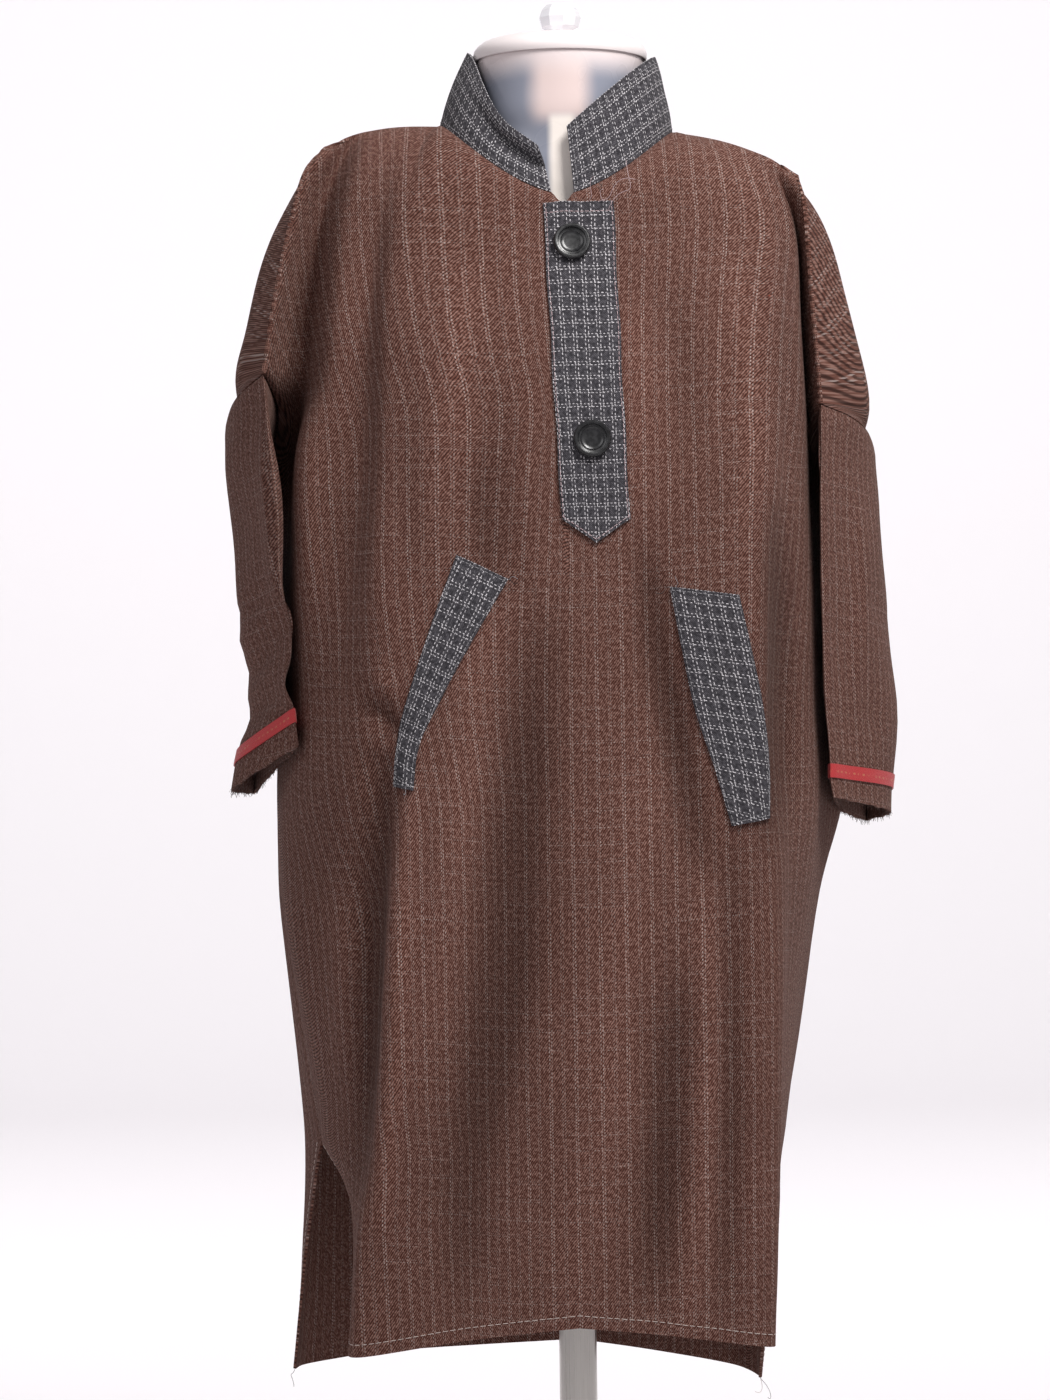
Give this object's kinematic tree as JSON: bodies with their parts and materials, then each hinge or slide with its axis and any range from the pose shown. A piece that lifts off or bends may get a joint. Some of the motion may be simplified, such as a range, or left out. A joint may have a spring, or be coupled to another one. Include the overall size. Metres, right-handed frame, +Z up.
{
  "type": "pheran on dress form",
  "caption": "Child's wool pheran with stand collar, pointed placket and slanted welt pockets, filled out on a limbless dress form on a pole and round base.",
  "frame": {"origin": "centre of the stand's underside, where it rests on the floor", "axes": "+Z up along the pole, -Y the way the front of the garment faces, +X the wearer's left"},
  "size_m": [0.4503, 0.3, 1.1976],
  "materials": {
    "tweed": "brushed wool tweed with pale pinstripes",
    "check": "charcoal wool with a pale windowpane check",
    "tape": "woven tape",
    "button": "glossy",
    "form": "translucent, satin",
    "cap": "satin",
    "knob": "clear, faceted",
    "steel": "satin"
  },
  "bodies": {
    "root": {"front": "tweed", "back": "tweed", "sleeve_left": "tweed", "sleeve_right": "tweed", "collar": "check", "placket": "check", "pocket_welt_left": "check", "pocket_welt_right": "check", "button_upper": "button", "button_lower": "button", "cuff_tape_left": "tape", "cuff_tape_right": "tape", "dress_form": "form", "neck_cap": "cap", "cap_knob": "knob", "pole": "steel", "base": "steel"}
  },
  "joints": []
}
